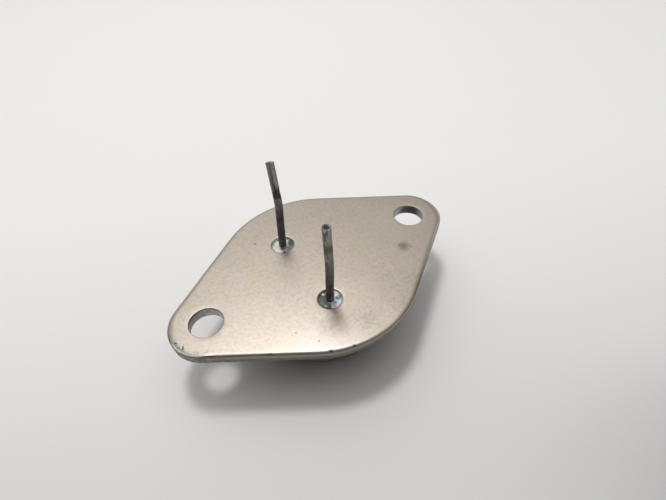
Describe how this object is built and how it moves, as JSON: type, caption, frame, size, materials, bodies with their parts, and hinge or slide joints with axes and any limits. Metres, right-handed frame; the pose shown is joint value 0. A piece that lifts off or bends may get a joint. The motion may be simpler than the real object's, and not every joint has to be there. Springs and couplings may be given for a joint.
{
  "type": "power transistor",
  "caption": "Metal-can power transistor with a diamond mounting flange, glass-sealed wire leads and a welded cap over the die.",
  "frame": {"origin": "centre of the cap's flat top, on the surface the part lies on", "axes": "+Z out of the seating face, the way the leads point; +X from the mounting hole nearer the leads to the farther one; +Y from the base lead to the emitter lead"},
  "size_m": [0.0388, 0.0254, 0.0203],
  "materials": {
    "header": "satin nickel plate",
    "cap": "satin nickel plate over drawn sheet",
    "base_seal": "dark green sealing glass",
    "emitter_seal": "dark green sealing glass",
    "base_lead": "dull tarnished wire",
    "emitter_lead": "dull tarnished wire",
    "spreader_braze": "matt braze",
    "heat_spreader": "bare copper",
    "die_solder": "dull soft solder",
    "die": "polished silicon",
    "base_wire": "bright drawn wire",
    "emitter_wire": "bright drawn wire"
  },
  "bodies": {
    "root": {"header": "header", "cap": "cap", "base_seal": "base_seal", "emitter_seal": "emitter_seal", "base_lead": "base_lead", "emitter_lead": "emitter_lead", "spreader_braze": "spreader_braze", "heat_spreader": "heat_spreader", "die_solder": "die_solder", "die": "die", "base_wire": "base_wire", "emitter_wire": "emitter_wire"}
  },
  "joints": []
}
